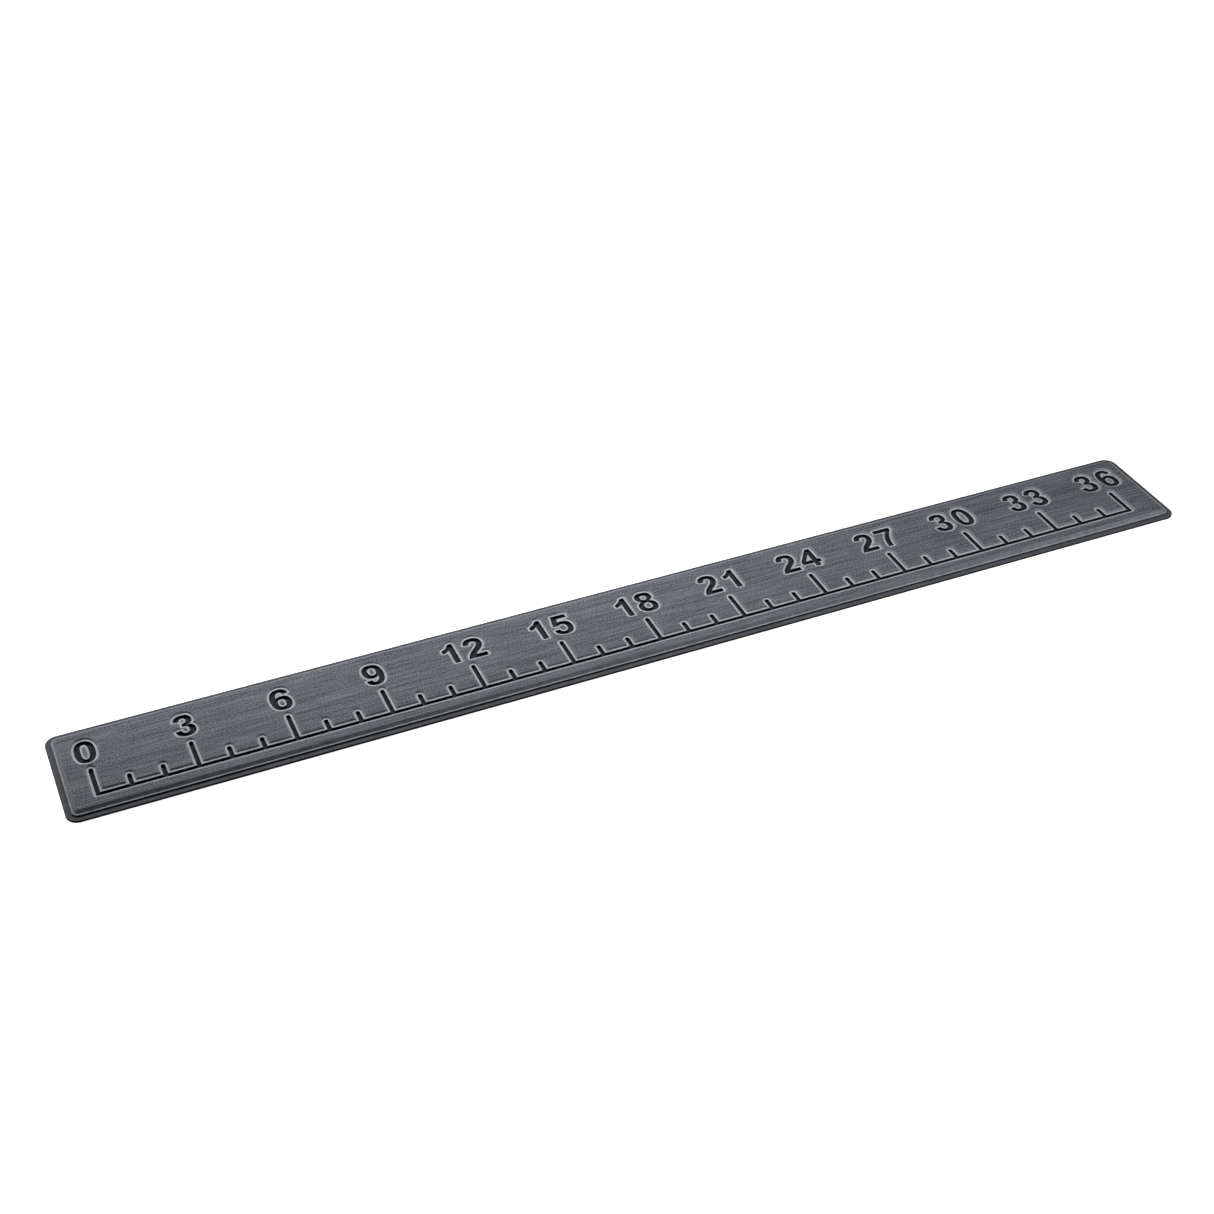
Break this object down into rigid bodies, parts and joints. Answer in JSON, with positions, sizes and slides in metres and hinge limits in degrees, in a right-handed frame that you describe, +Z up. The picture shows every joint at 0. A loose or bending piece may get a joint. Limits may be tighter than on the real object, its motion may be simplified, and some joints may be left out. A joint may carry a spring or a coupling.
{
  "type": "foam measuring ruler",
  "caption": "Long flat stick-down measuring strip of two bonded foam sheets, with routed inch ticks and numerals, bevelled edges, adhesive backing and a pull-off liner.",
  "frame": {"origin": "middle of the underside, on the surface that the strip lies on", "axes": "+X along the scale from 0 to 36, +Y from the scale's baseline to the numerals, +Z up out of the measuring face"},
  "size_m": [0.977, 0.1016, 0.0055],
  "materials": {
    "upper_foam": "closed-cell foam with a lengthwise brushed grey skin, and paler grey where the router has cut it",
    "lower_foam": "closed-cell charcoal foam, matt and very finely grained",
    "adhesive": "thin milky pressure-sensitive adhesive film",
    "liner_paper": "silicone-coated tan kraft paper"
  },
  "bodies": {
    "strip": {"adhesive_film": "adhesive", "lower_foam_sheet": "lower_foam", "upper_foam_sheet": "upper_foam", "island_in_0": "upper_foam", "island_in_6": "upper_foam", "island_in_9": "upper_foam", "island_in_18_upper": "upper_foam", "island_in_18_lower": "upper_foam", "island_in_24": "upper_foam", "island_in_30": "upper_foam", "island_in_36": "upper_foam"},
    "liner": {"release_liner": "liner_paper"}
  },
  "joints": [
    {"name": "liner_pull", "type": "slide", "parent": "strip", "child": "liner", "axis": [0, -1, 0], "range_m": [0, 0.12]}
  ]
}
